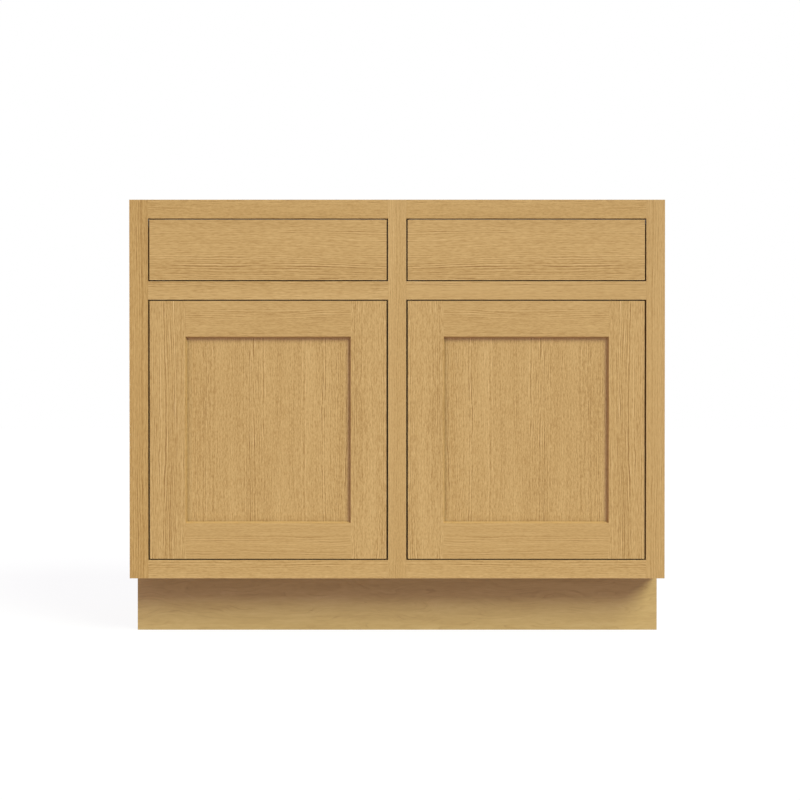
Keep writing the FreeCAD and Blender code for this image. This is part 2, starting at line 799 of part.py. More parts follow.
def check_and_write():
    """Stop on any failed feature or empty cut, then write one file for each sub-part."""
    doc.recompute()
    for piece in doc.Objects:
        if "Invalid" in piece.State or "Error" in piece.State:
            raise RuntimeError(f"{piece.Name} failed: {piece.State}")
    for piece in cuts:
        if piece.Shape.Volume >= piece.Base.Shape.Volume:
            raise RuntimeError(f"{piece.Name} cut nothing")
    os.makedirs("parts", exist_ok=True)
    for label, piece in nodes.items():
        shape = piece.Shape
        if shape.isNull() or not shape.isValid() or not shape.Solids:
            raise RuntimeError(f"{label} has no valid solid")
        shape.exportStep(f"parts/{label}.step")
    print(len(nodes), "sub-parts written")


fill_sheet()
build_face_frame()
build_box()
keep(group("mounting_screws", build_hinge_mounts() + build_runner_mounts()))
for half in OPENINGS:
    build_door(half)
    build_links(half)
    build_drawer(half)
check_and_write()
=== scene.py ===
"""Materials, light and camera for the vanity base cabinet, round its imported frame."""

import math

import bpy
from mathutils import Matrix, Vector


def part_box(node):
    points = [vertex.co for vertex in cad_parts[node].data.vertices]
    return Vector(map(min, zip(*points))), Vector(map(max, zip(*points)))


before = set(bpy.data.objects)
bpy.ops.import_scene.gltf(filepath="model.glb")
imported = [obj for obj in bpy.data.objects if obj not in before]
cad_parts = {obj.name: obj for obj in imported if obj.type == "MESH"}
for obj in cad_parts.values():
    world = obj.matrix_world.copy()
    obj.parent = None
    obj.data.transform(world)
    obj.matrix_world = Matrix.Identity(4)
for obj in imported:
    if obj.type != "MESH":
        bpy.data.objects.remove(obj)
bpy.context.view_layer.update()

# Millimetres in a metre: grain is laid out in millimetres
MM = 1000.0

# Painted shade on the thin arrises beside the gaps in the front, which makes the gaps look wider and
# darker. In millimetres: their width, the width of their soft rim, how far back they stay dark, how far
# back they end, and how much lower they sit over the drawers
ARRIS = 0.25
ARRIS_RIM = 0.1
ARRIS_DEPTH = 0.3
ARRIS_END = 0.9
TOP_SHADE = 0.4
# How much the painted shade on those arrises darkens them
ARRIS_SHADE_SHARE = 0.8

# Painted shade round the edges of a sunk panel: from and to so many millimetres from the corner line,
# and how much darker it is on the left, on the right, below and above
PANEL_CREASE_SHADES = (
    (3.0, 14.0, (0.12, 0.0, 0.08, 0.0)),
    (1.5, 4.5, (0.2, 0.05, 0.13, 0.03)),
)
# Painted shade on a moulded edge that faces the key light: where it starts and is full behind the face,
# in millimetres, and how much darker it is
SUNK_START = 0.3
SUNK_FULL = 1.5
SUNK_SHADE_SHARE = 0.12
# How far a door panel's edge is hidden in its groove, in metres
PANEL_TUCK = 0.0082

# Plies in the box's panels and drawer sides, and in the thin drawer bottoms
BOX_PLIES = 9
THIN_PLIES = 5

# Corners closer than this in metres are one corner, and edges sharper than this in degrees are rounded
WELD = 0.00002
EASED_ANGLE = 50

# Half the side of the floor, in metres, the colour that it throws back at the cabinet, the grey that
# takes its shadow in the picture, and how much it glows there to look white
FLOOR_HALF = 15.0
FLOOR_BOUNCE = (0.47, 0.39, 0.44, 1.0)
FLOOR_GREY = (0.12, 0.12, 0.12, 1.0)
FLOOR_GLOW = 0.9

# The surround's light on the cabinet, and the white that it shows in the picture and in reflections
SURROUND_LIGHT = (0.504, 0.428, 0.54, 1.0)
WHITE = (1.0, 1.0, 1.0, 1.0)

# The camera as worked out from the photograph: sensor and lens in millimetres, place in metres and its
# tilt below level in degrees
SENSOR = 36.0
LENS = 70.17
CAMERA_PLACE = (0.0057, -3.3737, 0.4953)
CAMERA_TILT = 0.4635


def linear(red, green, blue):
    """A colour from 0 to 255, as a picture shows it, as a linear colour with alpha."""
    steps = (red / 255, green / 255, blue / 255)
    return tuple(c / 12.92 if c <= 0.04045 else ((c + 0.055) / 1.055) ** 2.4 for c in steps) + (1.0,)


class Graph:
    """Short calls that add and join nodes in one node tree."""

    def __init__(self, tree):
        self.tree = tree

    def add(self, kind, inputs, output=0, **settings):
        """Add a node, set or link its inputs, and give back one of its outputs."""
        node = self.tree.nodes.new(kind)
        for name, value in settings.items():
            setattr(node, name, value)
        for key, value in inputs.items():
            if isinstance(value, bpy.types.NodeSocket):
                self.tree.links.new(value, node.inputs[key])
            else:
                node.inputs[key].default_value = value
        return node.outputs[output]

    def math(self, operation, first, second=0.0, third=0.0, clamp=False):
        """One sum on single numbers."""
        return self.add("ShaderNodeMath", {0: first, 1: second, 2: third},
                        operation=operation, use_clamp=clamp)

    def vector_math(self, operation, first, second):
        """One sum on vectors."""
        return self.add("ShaderNodeVectorMath", {0: first, 1: second}, operation=operation)

    def scale(self, vector, factor):
        """A vector or a colour times a number."""
        return self.add("ShaderNodeVectorMath", {0: vector, "Scale": factor}, operation="SCALE")

    def place(self):
        """Where a point lies on its object, in metres."""
        return self.add("ShaderNodeTexCoord", {}, output="Object")

    def split(self, vector):
        """The X, Y and Z outputs of a vector."""
        return self.add("ShaderNodeSeparateXYZ", {0: vector}).node.outputs

    def noise(self, vector, along, across, detail=2.0, roughness=0.5, distortion=0.0):
        """Noise whose features are so many millimetres long and wide, centred on zero."""
        spread = self.vector_math("MULTIPLY", vector, (1 / along, 1 / across, 1 / across))
        value = self.add("ShaderNodeTexNoise", {"Vector": spread, "Scale": 1.0, "Detail": detail,
                                                "Roughness": roughness, "Distortion": distortion})
        return self.math("SUBTRACT", value, 0.5)

    def weighted(self, start, *pairs):
        """A starting number plus each value times its weight."""
        total = start
        for value, weight in pairs:
            total = self.math("MULTIPLY_ADD", value, weight, total)
        return total

    def toned(self, tone, given):
        """A tone round zero, brought to the contrast and the shade that a group is given."""
        return self.math("MULTIPLY_ADD", tone, given["Contrast"], given["Shade"])

    def ramp(self, value, stops):
        """A colour ramp. The first two stops are its lower and its upper end."""
        node = self.tree.nodes.new("ShaderNodeValToRGB")
        self.tree.links.new(value, node.inputs[0])
        ramp = node.color_ramp
        for index, (spot, colour) in enumerate(stops):
            point = ramp.elements[index] if index < 2 else ramp.elements.new(spot)
            point.position = spot
            point.color = colour
        return node.outputs[0]

    def smooth(self, value, low, high):
        """A smooth step from 0 to 1 between two values."""
        return self.add("ShaderNodeMapRange", {"Value": value, "From Min": low, "From Max": high},
                        interpolation_type="SMOOTHSTEP")

    def blend(self, factor, first, second):
        """A mix of two colours. The mix node holds them at 6 and 7 and gives their mix at 2."""
        return self.add("ShaderNodeMix", {0: factor, 6: first, 7: second}, output=2,
                        data_type="RGBA")


WOOD_INPUTS = (("Vector", "NodeSocketVector"), ("Reach", "NodeSocketFloat"),
               ("Shade", "NodeSocketFloat"), ("Contrast", "NodeSocketFloat"),
               ("Lining", "NodeSocketFloat"), ("Unbroken", "NodeSocketFloat"),
               ("Tint", "NodeSocketVector"))
WOOD_OUTPUTS = (("Color", "NodeSocketColor"), ("Roughness", "NodeSocketFloat"),
                ("Height", "NodeSocketFloat"))


def new_wood(name):
    """An empty node group for a wood: its graph, its input sockets and its output node."""
    tree = bpy.data.node_groups.new(name, "ShaderNodeTree")
    for label, kind in WOOD_INPUTS:
        tree.interface.new_socket(label, in_out="INPUT", socket_type=kind)
    for label, kind in WOOD_OUTPUTS:
        tree.interface.new_socket(label, in_out="OUTPUT", socket_type=kind)
    entry = tree.nodes.new("NodeGroupInput")
    leave = tree.nodes.new("NodeGroupOutput")
    return Graph(tree), entry.outputs, leave


def finish_wood(graph, leave, colour, rough, height):
    """Join the last values of a wood to its outputs, and give back its node group."""
    for label, value in (("Color", colour), ("Roughness", rough), ("Height", height)):
        graph.tree.links.new(value, leave.inputs[label])
    return graph.tree


def line_noise(graph, across, cell, seat):
    """Noise that changes only across the grain, with cells of so many millimetres, centred on zero."""
    spot = graph.add("ShaderNodeCombineXYZ", {0: graph.math("MULTIPLY", across, 1 / cell), 1: seat})
    value = graph.add("ShaderNodeTexNoise", {"Vector": spot, "Scale": 1.0, "Detail": 1.0,
                                             "Roughness": 0.6})
    return graph.math("SUBTRACT", value, 0.5)


def growth_rings(graph, across, width, curve, end):
    """Rings so many millimetres wide that fade in along a curve and end sharply."""
    phase = graph.math("FRACT", graph.math("MULTIPLY", across, 1 / width))
    return graph.math("MULTIPLY", graph.math("POWER", phase, curve),
                      graph.math("SUBTRACT", 1.0, graph.smooth(phase, end, 1.0)))


def oak_grain():
    """Rift-cut oak: growth lines, short flecks, pores and broad bands. X runs along the grain."""
    g, given, leave = new_wood("oak_grain")
    flat = given["Vector"]
    shrink = g.math("DIVIDE", 1.0, given["Reach"])
    squeeze = g.add("ShaderNodeCombineXYZ", {0: shrink, 1: 1.0, 2: 1.0})
    point = g.vector_math("MULTIPLY", flat, squeeze)
    parts = g.split(point)
    # some widths of the board are calm, and others are strongly lined
    zone = g.math("ADD", g.noise(point, 1500, 32, 1.0), given["Lining"])
    zone = g.smooth(zone, -0.1, 0.12)
    calm = g.math("SUBTRACT", 1.0, zone)
    sway = g.noise(point, 420, 70, 1.0)
    wiggle = g.math("MULTIPLY", g.noise(point, 30, 12, 1.0), g.weighted(0.35, (calm, 0.65)))
    drift = g.noise(point, 75, 24, 1.0)
    across = g.weighted(parts["Y"], (parts["Z"], 0.75), (sway, 22.0), (drift, 5.0), (wiggle, 4.5))
    line = line_noise(g, across, 2.7, 0.0)
    swell = line_noise(g, across, 17.0, 7.3)
    streak = g.noise(point, 26, 1.9, 1.0, 0.6)
    fleck = g.noise(point, 7.5, 1.6, 1.0, 0.6)
    fibre = g.noise(point, 7, 0.5, 2.0, 0.6)
    band = g.noise(point, 420, 30, 1.0)
    pore = g.smooth(g.noise(flat, 5.0, 0.26, 1.0, 0.5), 0.08, 0.2)
    pore = g.math("MULTIPLY", pore, g.smooth(line, -0.06, 0.12))
    ray = g.smooth(g.noise(flat, 9.0, 2.2, 1.0, 0.4), 0.16, 0.26)
    # yearly rings about 4 mm apart
    phase = g.weighted(g.math("MULTIPLY", across, 1 / 4.3), (line_noise(g, across, 23.0, 11.9), 3.0))
    ring = g.math("SINE", g.math("MULTIPLY", phase, math.tau))
    # lines come and go along the board, and where they are more broken the streaks are stronger
    strength = g.weighted(1.0, (g.noise(point, 60, 9, 1.0), 5.0))
    strength = g.math("MULTIPLY", strength, given["Unbroken"])
    line_weight = g.math("MULTIPLY", g.weighted(-0.3, (zone, -0.7)), strength)
    ring_weight = g.math("MULTIPLY", g.weighted(0.035, (zone, 0.085)), strength)
    broken = g.weighted(2.5, (given["Unbroken"], -1.5))
    streak_weight = g.math("MULTIPLY", g.weighted(0.3, (zone, 0.15)), broken)
    tone = g.weighted(0.0, (line, line_weight), (ring, ring_weight), (streak, streak_weight),
                      (fleck, 0.6), (swell, -0.13), (fibre, 0.35), (band, 0.26), (pore, -0.16),
                      (ray, 0.06))
    colour = g.ramp(g.toned(tone, given), (
        (0.0, linear(142, 102, 50)),
        (1.0, linear(223, 188, 132)),
        (0.3, linear(176, 138, 81)),
        (0.5, linear(194, 157, 99)),
        (0.7, linear(206, 170, 112)),
    ))
    colour = g.vector_math("MULTIPLY", colour, given["Tint"])
    rough = g.weighted(0.46, (pore, 0.22), (streak, -0.12), (line, 0.16))
    height = g.weighted(0.5, (pore, -0.8), (fibre, 0.35), (line, -0.25), (streak, 0.15))
    return finish_wood(g, leave, colour, rough, height)


def maple_grain():
    """Clear maple: nearly straight, thin, calm lines, faint rings and a few small dark flecks.
    X runs along the grain."""
    g, given, leave = new_wood("maple_grain")
    point = given["Vector"]
    parts = g.split(point)
    sway = g.noise(point, 170, 42, 1.0)
    curl = g.noise(point, 44, 13, 1.0)
    across = g.weighted(parts["Y"], (parts["Z"], 0.5), (sway, 90.0), (curl, 14.0))
    ring = growth_rings(g, across, 9.0, 5.0, 0.9)
    ring = g.math("MULTIPLY", ring, g.smooth(g.noise(point, 60, 10, 1.0), -0.06, 0.16))
    line = line_noise(g, across, 4.0, 3.1)
    band = g.noise(point, 200, 20, 1.0)
    streak = g.noise(point, 22, 4.0, 1.0, 0.6)
    fibre = g.noise(point, 14, 0.5, 2.0, 0.6)
    fleck = g.smooth(g.noise(point, 11.0, 3.4, 1.0, 0.5), 0.23, 0.33)
    tone = g.weighted(0.0, (ring, -0.24), (line, 0.18), (band, 0.33), (streak, 0.22), (fibre, 0.14),
                      (fleck, -0.25))
    colour = g.ramp(g.toned(tone, given), (
        (0.0, linear(152, 116, 66)),
        (1.0, linear(226, 200, 146)),
        (0.5, linear(197, 166, 109)),
    ))
    rough = g.weighted(0.44, (band, 0.12), (fibre, 0.1), (fleck, 0.1))
    height = g.weighted(0.5, (fibre, 0.4), (fleck, -0.3), (line, 0.15))
    return finish_wood(g, leave, colour, rough, height)


def birch_grain():
    """Rotary-cut birch veneer: broad swirls and fine fibres. X runs along the grain."""
    g, given, leave = new_wood("birch_grain")
    point = given["Vector"]
    swirl = g.noise(point, 330, 62, 2.0, 0.5, 0.6)
    rings = g.math("SINE", g.math("MULTIPLY", swirl, 70.0))
    band = g.noise(point, 300, 40, 2.0)
    fibre = g.noise(point, 18, 0.6, 2.0, 0.6)
    fleck = g.smooth(g.noise(point, 4.0, 0.4, 1.0), 0.12, 0.24)
    tone = g.weighted(0.0, (rings, 0.05), (band, 0.4), (fibre, 0.25), (fleck, -0.1))
    colour = g.ramp(g.toned(tone, given), (
        (0.0, linear(176, 142, 94)),
        (1.0, linear(234, 214, 172)),
        (0.5, linear(212, 186, 138)),
    ))
    rough = g.weighted(0.5, (band, 0.12), (fibre, 0.14))
    height = g.weighted(0.5, (fibre, 0.45), (fleck, -0.4))
    return finish_wood(g, leave, colour, rough, height)


def softwood_grain():
    """Planed softwood: clear yearly rings that fade slowly and end sharply. X runs along the grain."""
    g, given, leave = new_wood("softwood_grain")
    point = given["Vector"]
    parts = g.split(point)
    sway = g.noise(point, 300, 60, 1.0)
    across = g.weighted(parts["Y"], (parts["Z"], 0.6), (sway, 30.0))
    ring = growth_rings(g, across, 4.6, 3.0, 0.92)
    band = g.noise(point, 260, 30, 2.0)
    fibre = g.noise(point, 20, 0.5, 2.0, 0.6)
    tone = g.weighted(0.0, (ring, -0.3), (band, 0.35), (fibre, 0.3))
    colour = g.ramp(g.toned(tone, given), (
        (0.0, linear(150, 106, 58)),
        (1.0, linear(236, 210, 160)),
        (0.5, linear(208, 176, 122)),
    ))
    rough = g.weighted(0.6, (ring, -0.1), (fibre, 0.16))
    height = g.weighted(0.5, (ring, 0.3), (fibre, 0.5))
    return finish_wood(g, leave, colour, rough, height)


# Which object axis is along the grain, across the face and through the board
UPRIGHT = ("Z", "X", "Y")
LEVEL = ("X", "Z", "Y")
SIDE = ("Z", "Y", "X")
DECK = ("X", "Y", "Z")
RUNNING = ("Y", "Z", "X")
AXIS = {"X": 0, "Y": 1, "Z": 2}


def base_material(name):
    """An empty material: itself, its graph and its surface shader."""
    material = bpy.data.materials.new(name)
    material.use_nodes = True
    tree = material.node_tree
    tree.nodes.clear()
    shader = tree.nodes.new("ShaderNodeBsdfPrincipled")
    leave = tree.nodes.new("ShaderNodeOutputMaterial")
    tree.links.new(shader.outputs[0], leave.inputs[0])
    return material, Graph(tree), shader


def connect(graph, shader, colour, rough, height, depth):
    """Join colour, roughness and a bump of so many millimetres to a shader."""
    tree = graph.tree
    tree.links.new(colour, shader.inputs["Base Color"])
    tree.links.new(rough, shader.inputs["Roughness"])
    bump = graph.add("ShaderNodeBump", {"Height": height, "Distance": depth / MM, "Strength": 1.0})
    tree.links.new(bump, shader.inputs["Normal"])


def board_vector(graph, axes, offset, mirrored=False):
    """Position in millimetres, turned so that X runs along the grain, and shifted for each board."""
    place = graph.place()
    if mirrored:
        place = graph.vector_math("MULTIPLY", place, (-1.0, 1.0, 1.0))
    parts = graph.split(place)
    turned = graph.add("ShaderNodeCombineXYZ", {spot: parts[axis] for spot, axis in enumerate(axes)})
    return graph.vector_math("ADD", graph.scale(turned, MM), offset)


def offset_for(cut):
    """The place in the tree that a board of this number is cut from, in millimetres."""
    return (cut * 731.0 % 4000, cut * 389.0 % 900, cut * 157.0 % 500)


def grain_of(graph, group, vector, reach=1.0, shade=0.5, contrast=1.0, lining=0.0, unbroken=1.0,
             tint=(1, 1, 1)):
    """One use of a wood: its group node with every input set."""
    return graph.add("ShaderNodeGroup", {
        "Vector": vector, "Reach": reach, "Shade": shade, "Contrast": contrast, "Lining": lining,
        "Unbroken": unbroken, "Tint": tint,
    }, node_tree=group).node


def crease(graph, colour, corners, near, far, shares):
    """Painted shade along a rectangle's left, right, lower and upper edge, darker by the shares."""
    parts = graph.split(graph.place())
    edges = []
    for axis in ("X", "Z"):
        edges.append(graph.math("SUBTRACT", parts[axis], corners[0][AXIS[axis]]))
        edges.append(graph.math("SUBTRACT", corners[1][AXIS[axis]], parts[axis]))
    kept = 1.0
    for edge, share in zip(edges, shares):
        fade = graph.smooth(graph.math("MULTIPLY", edge, MM), near, far)
        kept = graph.math("MULTIPLY", kept, graph.weighted(1.0 - share, (fade, share)))
    return graph.scale(colour, kept)


def sunk(graph, colour, face):
    """A moulded edge that lies behind the front face, made darker by painted shade."""
    depth = graph.math("SUBTRACT", graph.split(graph.place())["Y"], face)
    depth = graph.math("MULTIPLY", depth, MM)
    kept = graph.weighted(1.0, (graph.smooth(depth, SUNK_START, SUNK_FULL), -SUNK_SHADE_SHARE))
    return graph.scale(colour, kept)


def gap_outlines():
    """Both sides of each gap on the left half of the front: the leaf's outline, then the opening's."""
    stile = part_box("face_stile_left")[1][0]
    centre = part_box("face_stile_centre")[0][0]
    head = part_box("face_top_rail_left")[0][2] - TOP_SHADE / MM
    sill_low, sill_high = (corner[2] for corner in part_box("face_mid_rail_left"))
    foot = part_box("face_bottom_rail_left")[1][2]
    drawer_low, drawer_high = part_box("left_drawer_front")
    door_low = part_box("left_door_hinge_stile")[0]
    door_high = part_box("left_door_lock_stile")[1]
    return (
        ((drawer_low[0], drawer_low[2]), (drawer_high[0], drawer_high[2] - TOP_SHADE / MM),
         (stile, sill_high), (centre, head)),
        ((door_low[0], door_low[2]), (door_high[0], door_high[2]), (stile, foot), (centre, sill_low)),
    )


def off_outline(graph, across, up, low, high):
    """How many millimetres a place lies outside a rectangle, less than nothing inside it. The rectangle
    is one of the left half, and across is the distance from the middle."""
    beside = graph.math("ABSOLUTE", graph.math("ADD", across, (low[0] + high[0]) / 2))
    above = graph.math("ABSOLUTE", graph.math("SUBTRACT", up, (low[1] + high[1]) / 2))
    beside = graph.math("SUBTRACT", beside, (high[0] - low[0]) / 2)
    above = graph.math("SUBTRACT", above, (high[1] - low[1]) / 2)
    return graph.math("MULTIPLY", graph.math("MAXIMUM", beside, above), MM)


def gap_arris_shade(graph, colour):
    """Painted shade on the thin arrises beside the gaps in the front, nearly as dark as the gaps."""
    parts = graph.split(graph.place())
    across = graph.math("ABSOLUTE", parts["X"])
    bands = []
    for leaf_low, leaf_high, hole_low, hole_high in gap_outlines():
        leaf = off_outline(graph, across, parts["Z"], leaf_low, leaf_high)
        hole = off_outline(graph, across, parts["Z"], hole_low, hole_high)
        bands.append(graph.math("SUBTRACT", graph.smooth(leaf, -ARRIS - ARRIS_RIM, -ARRIS),
                                graph.smooth(hole, ARRIS, ARRIS + ARRIS_RIM)))
    depth = graph.math("SUBTRACT", parts["Y"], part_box("face_stile_left")[0][1])
    shown = graph.smooth(graph.math("MULTIPLY", depth, MM), ARRIS_END, ARRIS_DEPTH)
    dark = graph.math("MULTIPLY", graph.math("MAXIMUM", *bands), shown)
    return graph.scale(colour, graph.weighted(1.0, (dark, -ARRIS_SHADE_SHARE)))


def solid_wood(name, group, axes, cut, depth=0.06, recess=None, edge=None, in_front=False,
               mirrored=False, **look):
    """A board of solid timber, with a bump of so many millimetres. A recess is the rectangle of a sunk
    panel that can be seen, with painted shade round its edges, and an edge is the front face of a board
    whose moulded edge gets painted shade. A board in front gets painted shade beside the gaps."""
    material, graph, shader = base_material(name)
    grain = grain_of(graph, group, board_vector(graph, axes, offset_for(cut), mirrored), **look)
    colour = grain.outputs["Color"]
    if recess:
        # painted shade round the edges of the sunk panel
        for near, far, shares in PANEL_CREASE_SHADES:
            colour = crease(graph, colour, recess, near, far, shares)
    # painted shade on a moulded edge that faces the key light
    if edge is not None:
        colour = sunk(graph, colour, edge)
    # painted shade on the arrises beside the gaps
    if in_front:
        colour = gap_arris_shade(graph, colour)
    connect(graph, shader, colour, grain.outputs["Roughness"], grain.outputs["Height"], depth)
    shader.inputs["Specular IOR Level"].default_value = 0.4
    return material


def sheet_wood(name, face, core, axes, cut, span, plies):
    """Plywood: a face veneer on both sides, and crossed plies that show at the edges. The span is where
    the sheet starts and ends through its thickness, in millimetres."""
    material, graph, shader = base_material(name)
    offset = offset_for(cut)
    vector = board_vector(graph, axes, offset)
    low, high = span
    parts = graph.split(vector)
    through = graph.math("SUBTRACT", parts["Z"], low + offset[2])
    through = graph.math("DIVIDE", through, high - low)
    layers = graph.math("MULTIPLY", through, plies)
    ply = graph.math("MINIMUM", graph.math("MAXIMUM", graph.math("FLOOR", layers), 0.0), plies - 1.0)
    crossed = graph.math("MODULO", ply, 2.0)
    turned = graph.add("ShaderNodeCombineXYZ", {0: parts["Y"], 1: parts["X"], 2: parts["Z"]})
    along = grain_of(graph, face, vector)
    over = grain_of(graph, core, turned)
    # end grain of the crossed plies is darker than the faces
    end_grain = graph.blend(0.42, over.outputs["Color"], linear(150, 108, 62))
    colour = graph.blend(crossed, along.outputs["Color"], end_grain)
    # a thin glue line at each seam between two plies, and none at the outer faces
    seam = graph.math("ABSOLUTE", graph.math("SUBTRACT", graph.math("FRACT", layers), 0.5))
    inner = graph.math("MULTIPLY", graph.smooth(through, 0.02, 0.06),
                       graph.math("SUBTRACT", 1.0, graph.smooth(through, 0.94, 0.98)))
    glue = graph.math("MULTIPLY", graph.smooth(seam, 0.44, 0.5), inner)
    colour = graph.blend(graph.math("MULTIPLY", glue, 0.55), colour, linear(96, 66, 36))
    rough = graph.weighted(along.outputs["Roughness"], (crossed, 0.12), (glue, 0.1))
    height = graph.weighted(along.outputs["Height"], (crossed, -0.3), (glue, -0.5))
    connect(graph, shader, colour, rough, height, depth=0.05)
    shader.inputs["Specular IOR Level"].default_value = 0.35
    return material


def darker_and_lighter(colour, share):
    """A ramp's two ends: the colour less a share of itself, and the colour plus that share."""
    return ((0.0, tuple(c * (1 - share) for c in colour) + (1.0,)),
            (1.0, tuple(min(1.0, c * (1 + share)) for c in colour) + (1.0,)))


def metal(name, colour, rough, axes, mottle, scratch):
    """Plated steel with soft mottling, spangles by the weight of mottle and fine drawn lines."""
    material, graph, shader = base_material(name)
    vector = board_vector(graph, axes, (0, 0, 0))
    cloud = graph.noise(vector, 9.0, 9.0, 3.0, 0.55)
    drawn = graph.noise(vector, 26.0, 0.22, 2.0, 0.6)
    spread = graph.vector_math("MULTIPLY", vector, (0.3, 0.3, 0.3))
    flake = graph.add("ShaderNodeTexVoronoi", {"Vector": spread, "Scale": 1.0}, output="Color")
    flake = graph.add("ShaderNodeSeparateColor", {0: flake})
    tone = graph.weighted(0.5, (cloud, 0.5), (drawn, 0.25),
                          (graph.math("SUBTRACT", flake, 0.5), mottle))
    shade = graph.ramp(tone, darker_and_lighter(colour, 0.28))
    roughness = graph.weighted(rough, (cloud, 0.22), (drawn, 0.16), (flake, mottle * 0.2))
    height = graph.weighted(0.5, (drawn, scratch), (cloud, 0.3))
    connect(graph, shader, shade, roughness, height, depth=0.02)
    shader.inputs["Metallic"].default_value = 1.0
    return material


def plastic(name, colour):
    """Moulded plastic with a fine spark-eroded texture."""
    material, graph, shader = base_material(name)
    vector = board_vector(graph, DECK, (0, 0, 0))
    cloud = graph.noise(vector, 8.0, 8.0, 2.0)
    grit = graph.noise(vector, 0.35, 0.35, 2.0, 0.7)
    tone = graph.weighted(0.5, (cloud, 0.5), (grit, 0.3))
    shade = graph.ramp(tone, darker_and_lighter(colour, 0.25))
    rough = graph.weighted(0.48, (grit, 0.2), (cloud, 0.1))
    connect(graph, shader, shade, rough, grit, depth=0.03)
    return material


def wear(node, material, bevel):
    """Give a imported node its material, and edges that are rounded by so many millimetres."""
    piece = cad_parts[node]
    for slot in piece.material_slots:
        slot.material = material
    if not piece.material_slots:
        piece.data.materials.append(material)
    weld = piece.modifiers.new("weld", "WELD")
    weld.merge_threshold = WELD
    ease = piece.modifiers.new("ease", "BEVEL")
    ease.width = bevel / MM
    ease.segments = 2
    ease.limit_method = "ANGLE"
    ease.angle_limit = math.radians(EASED_ANGLE)
    even = piece.modifiers.new("even", "WEIGHTED_NORMAL")
    even.keep_sharp = False


oak = oak_grain()
maple = maple_grain()
birch = birch_grain()
softwood = softwood_grain()

# The photograph shows the same figure on both halves of the front, mirrored about the middle. Only the
# two middle rails differ. Each row is a node, its axes, its cut, the reach of the figure along the
# board, its shade, its contrast, how much of its width is lined, and how unbroken its lines are. The
# cuts were picked by a search over many for the figure most like the photograph's, and the shades and
# contrasts were set to its measured tones.
boards = [
    ("face_stile_left", UPRIGHT, 222, 1.0, 0.42, 0.78, 0.1, 0.8),
    ("face_stile_right", UPRIGHT, 222, 1.0, 0.49, 0.6, 0.1, 0.8),
    ("face_stile_centre", UPRIGHT, 117, 0.8, 0.51, 0.82, 0.0, 0.95),
    ("face_mid_rail_left", LEVEL, 23, 1.8, 0.525, 1.15, 0.0, 1.0),
    ("face_mid_rail_right", LEVEL, 173, 1.8, 0.513, 0.8, 0.0, 1.0),
]
for side in ("left", "right"):
    boards += [
        (f"face_top_rail_{side}", LEVEL, 197, 0.8, 0.445, 0.73, 0.0, 0.75),
        (f"face_bottom_rail_{side}", LEVEL, 48, 1.2, 0.52, 0.88, 0.0, 0.88),
        (f"{side}_door_hinge_stile", UPRIGHT, 193, 1.0, 0.48, 0.98, 0.3, 0.85),
        (f"{side}_door_lock_stile", UPRIGHT, 215, 0.9, 0.505, 1.19, 0.0, 0.7),
        (f"{side}_door_top_rail", LEVEL, 218, 1.1, 0.49, 0.79, 0.0, 0.85),
        (f"{side}_door_bottom_rail", LEVEL, 84, 1.1, 0.49, 0.6, 0.0, 1.0),
        (f"{side}_door_panel", UPRIGHT, 50, 0.9, 0.5, 1.22, 0.0, 0.72),
        (f"{side}_drawer_front", LEVEL, 183, 1.6, 0.5, 1.02, 0.0, 1.18),
    ]
TINTS = {
    "face_stile_left": (1.0, 0.985, 0.93),
    "face_top_rail_left": (1.0, 0.995, 0.965),
    "face_top_rail_right": (1.0, 0.995, 0.965),
}
for node, axes, cut, reach, shade, contrast, lining, unbroken in boards:
    recess = None
    if node.endswith("panel"):
        low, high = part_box(node)
        recess = [[value + PANEL_TUCK for value in low], [value - PANEL_TUCK for value in high]]
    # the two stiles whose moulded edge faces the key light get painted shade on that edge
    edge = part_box(node)[0][1] if node in ("left_door_hinge_stile", "right_door_lock_stile") else None
    tint = TINTS.get(node, (1.0, 1.0, 1.0))
    mirrored = "right" in node and "mid" not in node
    timber = solid_wood("oak_" + node, oak, axes, cut, recess=recess, edge=edge, mirrored=mirrored,
                        in_front=not node.endswith("panel"), reach=reach, shade=shade,
                        contrast=contrast, lining=lining, unbroken=unbroken, tint=tint)
    wear(node, timber, 0.5 if node.endswith("drawer_front") else 0.2)

# Each row is a node, its axes, its face veneer, its cut and its number of plies
sheets = [
    ("side_panel_left", SIDE, birch, 41, BOX_PLIES),
    ("side_panel_right", SIDE, birch, 42, BOX_PLIES),
    ("bottom_panel", DECK, birch, 43, BOX_PLIES),
    ("back_panel", UPRIGHT, birch, 44, BOX_PLIES),
    ("toe_kick_board", LEVEL, maple, 89, BOX_PLIES),
    ("toe_kick_support", LEVEL, birch, 46, BOX_PLIES),
]
for side, cut in (("left", 47), ("right", 52)):
    sheets += [
        (f"{side}_drawer_box_front", LEVEL, birch, cut, BOX_PLIES),
        (f"{side}_drawer_box_back", LEVEL, birch, cut + 1, BOX_PLIES),
        (f"{side}_drawer_side_left", RUNNING, birch, cut + 2, BOX_PLIES),
        (f"{side}_drawer_side_right", RUNNING, birch, cut + 3, BOX_PLIES),
        (f"{side}_drawer_bottom", DECK, birch, cut + 4, THIN_PLIES),
    ]
for node, axes, veneer, cut, plies in sheets:
    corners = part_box(node)
    span = [corner[AXIS[axes[2]]] * MM for corner in corners]
    wear(node, sheet_wood("sheet_" + node, veneer, birch, axes, cut, span, plies), 0.25)

blocks = (
    ("corner_blocks", DECK), ("stop_blocks", LEVEL),
    ("hinge_build_out_left", SIDE), ("hinge_build_out_right", SIDE),
    ("runner_block_left", RUNNING), ("runner_block_centre", RUNNING), ("runner_block_right", RUNNING),
)
for cut, (node, axes) in enumerate(blocks, start=71):
    wear(node, solid_wood("softwood_" + node, softwood, axes, cut, shade=0.56, depth=0.08), 0.4)

